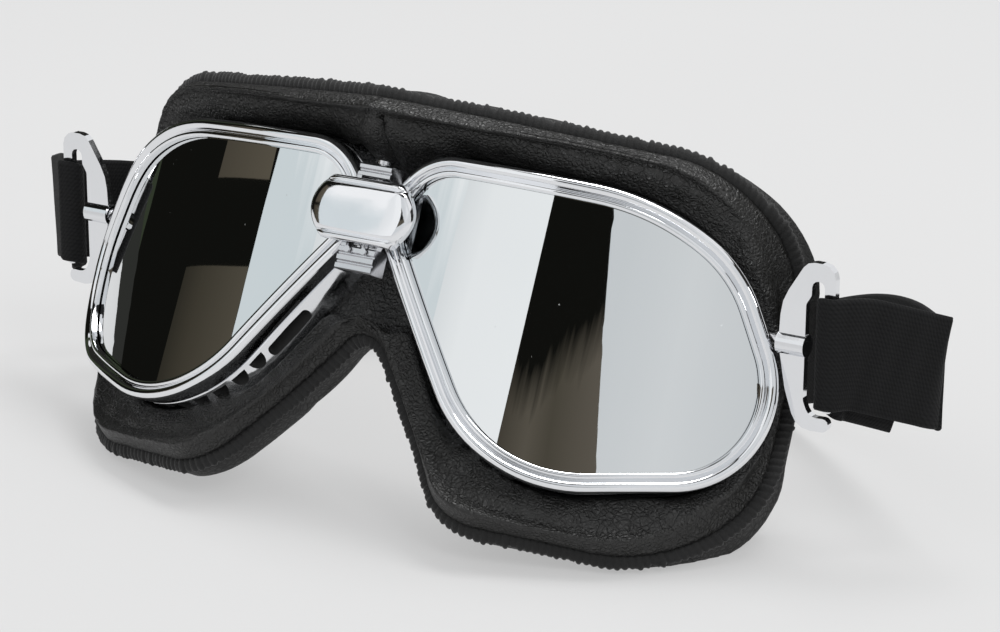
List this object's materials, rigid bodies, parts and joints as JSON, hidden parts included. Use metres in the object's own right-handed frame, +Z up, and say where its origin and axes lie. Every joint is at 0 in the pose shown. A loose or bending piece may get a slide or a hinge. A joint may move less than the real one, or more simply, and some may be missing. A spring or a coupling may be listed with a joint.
{
  "type": "motorcycle goggles",
  "caption": "Padded leather riding goggles: chromed curved lens frames hinged at the bridge, vented rear frames, swivelling strap hooks and an elastic strap.",
  "frame": {"origin": "middle of the footprint, on the table the goggles stand on", "axes": "+X to the wearer's left, -Y the way the lenses face, +Z up; the goggles lean back 25 degrees as they rest"},
  "size_m": [0.2426, 0.1366, 0.0948],
  "materials": {
    "bezel_right": "polished chrome plate",
    "bezel_left": "polished chrome plate",
    "eyecup_right": "polished chrome plate",
    "eyecup_left": "polished chrome plate",
    "outrigger_right": "polished chrome plate",
    "outrigger_left": "polished chrome plate",
    "bridge_plate": "polished chrome plate",
    "hinge_leaf_right": "satin nickel",
    "hinge_leaf_left": "satin nickel",
    "bridge_screw_right": "satin nickel",
    "bridge_screw_left": "satin nickel",
    "outrigger_pin_right": "satin nickel",
    "outrigger_pin_left": "satin nickel",
    "hinge_pin": "satin nickel",
    "lens_right": "silver mirror coating on polycarbonate",
    "lens_left": "silver mirror coating on polycarbonate",
    "lens_gasket_right": "black rubber",
    "lens_gasket_left": "black rubber",
    "leather_mask": "black grained leather",
    "face_lining": "soft black lining leather",
    "foam_pad_right": "black cushion foam",
    "foam_pad_left": "black cushion foam",
    "edge_welt": "black overlocked thread",
    "strap_loop_right": "black woven elastic",
    "strap_loop_left": "black woven elastic",
    "strap_back": "black woven elastic"
  },
  "bodies": {
    "frame_right": {"bezel_right": "bezel_right", "lens_right": "lens_right", "lens_gasket_right": "lens_gasket_right", "eyecup_right": "eyecup_right", "foam_pad_right": "foam_pad_right", "hinge_leaf_right": "hinge_leaf_right", "hinge_pin": "hinge_pin", "bridge_plate": "bridge_plate", "bridge_screw_left": "bridge_screw_left", "bridge_screw_right": "bridge_screw_right", "leather_mask": "leather_mask", "face_lining": "face_lining", "edge_welt": "edge_welt", "strap_back": "strap_back", "outrigger_pin_right": "outrigger_pin_right"},
    "frame_left": {"bezel_left": "bezel_left", "lens_left": "lens_left", "lens_gasket_left": "lens_gasket_left", "eyecup_left": "eyecup_left", "foam_pad_left": "foam_pad_left", "hinge_leaf_left": "hinge_leaf_left", "outrigger_pin_left": "outrigger_pin_left"},
    "outrigger_right": {"outrigger_right": "outrigger_right", "strap_loop_right": "strap_loop_right"},
    "outrigger_left": {"outrigger_left": "outrigger_left", "strap_loop_left": "strap_loop_left"}
  },
  "joints": [
    {"name": "bridge_hinge", "type": "hinge", "parent": "frame_right", "child": "frame_left", "pos_m": [0, -0.04537, 0.06902], "axis": [0, 0.4226, 0.9063], "range_deg": [-4, 4], "deforming": ["leather_mask", "face_lining", "edge_welt", "strap_back"]},
    {"name": "right_outrigger_swivel", "type": "hinge", "parent": "frame_right", "child": "outrigger_right", "pos_m": [-0.0944, -0.02447, 0.04758], "axis": [1, 0, 0], "range_deg": [-30, 30], "deforming": ["strap_back"]},
    {"name": "left_outrigger_swivel", "type": "hinge", "parent": "frame_left", "child": "outrigger_left", "pos_m": [0.0944, -0.02447, 0.04758], "axis": [1, 0, 0], "range_deg": [-30, 30], "deforming": ["strap_back"]}
  ]
}
